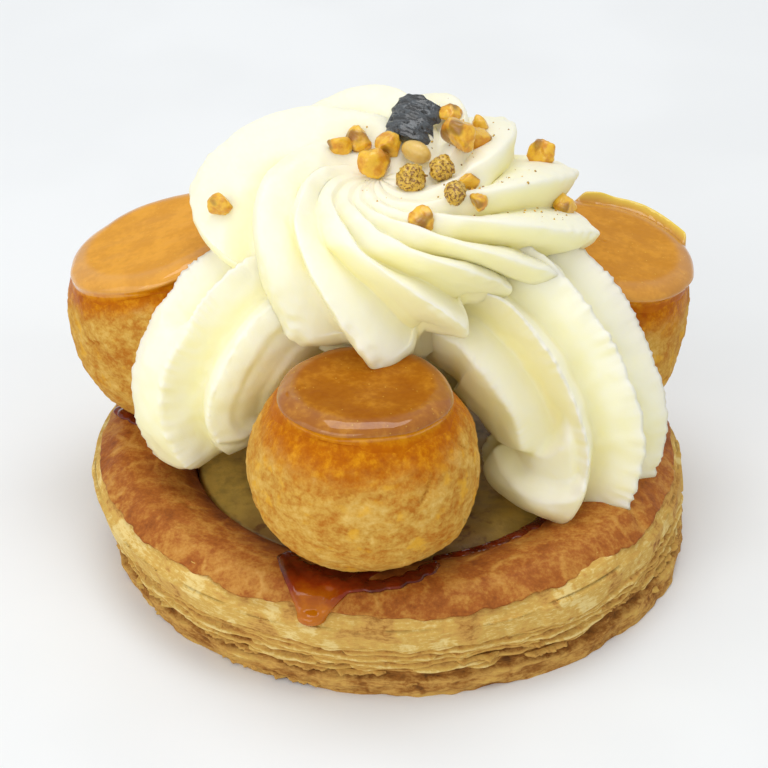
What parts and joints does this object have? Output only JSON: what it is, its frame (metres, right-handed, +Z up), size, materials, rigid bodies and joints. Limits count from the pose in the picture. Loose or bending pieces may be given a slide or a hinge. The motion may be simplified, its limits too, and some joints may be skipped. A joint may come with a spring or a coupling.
{
  "type": "saint-honore cake",
  "caption": "Individual Saint-Honore cake: rimmed puff pastry round with pastry cream, caramel-topped choux buns, piped cream, caramelised nuts and a dark shard.",
  "frame": {"origin": "on the floor under the middle of the pastry rim", "axes": "+Z up, -Y towards the bun that stands by itself at the front, +X to the right as seen from that side"},
  "size_m": [0.1013, 0.096, 0.0721],
  "materials": {
    "puff_pastry": "flaky baked leaves, glazed brown rim",
    "custard": "moist, slightly glossy pastry cream",
    "choux": "dry golden choux crust",
    "caramel": "hard glossy amber caramel",
    "cream": "soft satin whipped cream",
    "dark_shard": "dark pitted glossy shard"
  },
  "bodies": {
    "root": {"puff_pastry_base": "puff_pastry", "pastry_cream": "custard", "choux_front": "choux", "caramel_cap_front": "caramel", "choux_left": "choux", "caramel_cap_left": "caramel", "choux_right": "choux", "caramel_cap_right": "caramel", "cream_rosette": "cream", "cream_shell_right": "cream", "cream_shell_left": "cream", "cream_shell_back": "cream", "dark_shard": "dark_shard"}
  },
  "joints": []
}
